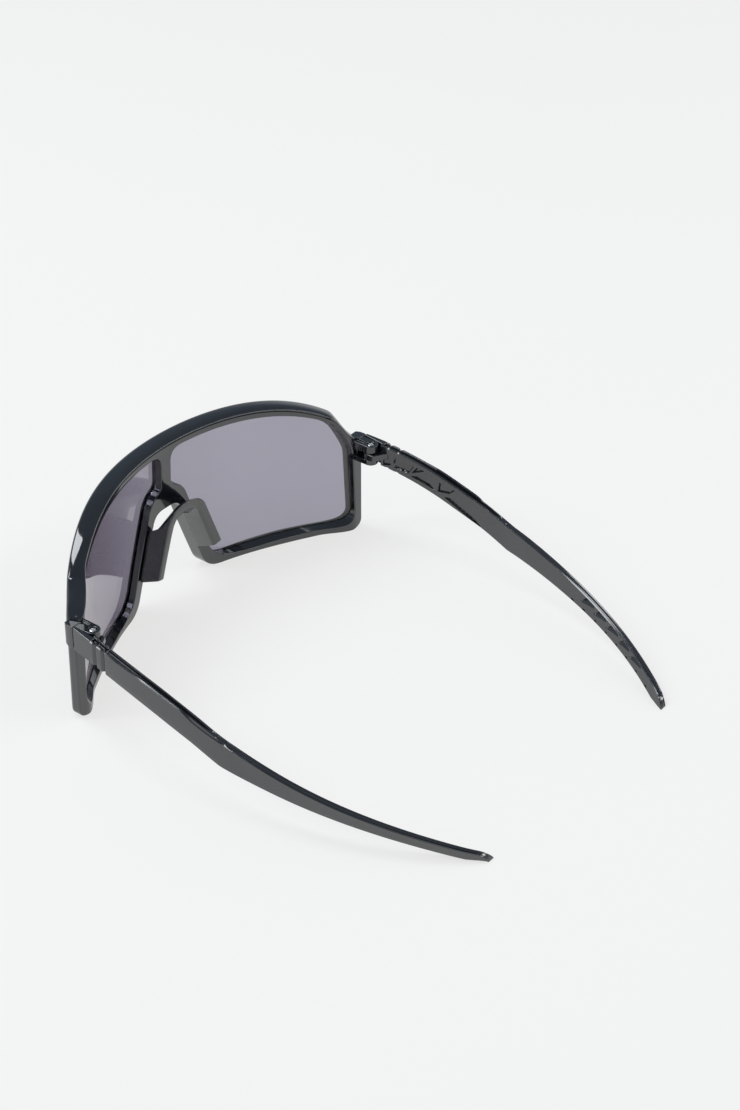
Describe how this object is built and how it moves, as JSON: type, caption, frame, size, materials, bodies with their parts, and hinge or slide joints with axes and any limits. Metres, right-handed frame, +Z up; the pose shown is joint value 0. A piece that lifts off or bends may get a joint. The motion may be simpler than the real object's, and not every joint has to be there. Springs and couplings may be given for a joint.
{
  "type": "sunglasses",
  "caption": "Wraparound sports sunglasses: a full-rim front with a straight brow, tinted lenses, a soft nose piece and folding temples.",
  "frame": {"origin": "on the ground plane, below the middle of the bounding box of the open glasses", "axes": "+X to the wearer's left, +Y back along the temples, +Z up; the lenses face -Y"},
  "size_m": [0.1418, 0.1614, 0.0546],
  "materials": {
    "frame_gloss": "polished, near black slate",
    "temple_gloss": "polished, near black slate",
    "lens_smoke": "clear smoke tint, polished",
    "nose_rubber": "soft, fine matt",
    "screw_steel": "plain steel",
    "insert_brass": "plain brass"
  },
  "bodies": {
    "front": {"front_frame": "frame_gloss", "lens_left": "lens_smoke", "lens_right": "lens_smoke", "nose_piece": "nose_rubber", "hinge_screw_left": "screw_steel", "hinge_screw_right": "screw_steel", "hinge_insert_left": "insert_brass", "hinge_insert_right": "insert_brass"},
    "left_temple": {"temple_left": "temple_gloss"},
    "right_temple": {"temple_right": "temple_gloss"}
  },
  "joints": [
    {"name": "left_temple_fold", "type": "hinge", "parent": "front", "child": "left_temple", "pos_m": [0.0647, -0.04557, 0.03], "axis": [0, 0, 1], "range_deg": [0, 80]},
    {"name": "right_temple_fold", "type": "hinge", "parent": "front", "child": "right_temple", "pos_m": [-0.0647, -0.04557, 0.03], "axis": [0, 0, -1], "range_deg": [0, 74]}
  ]
}
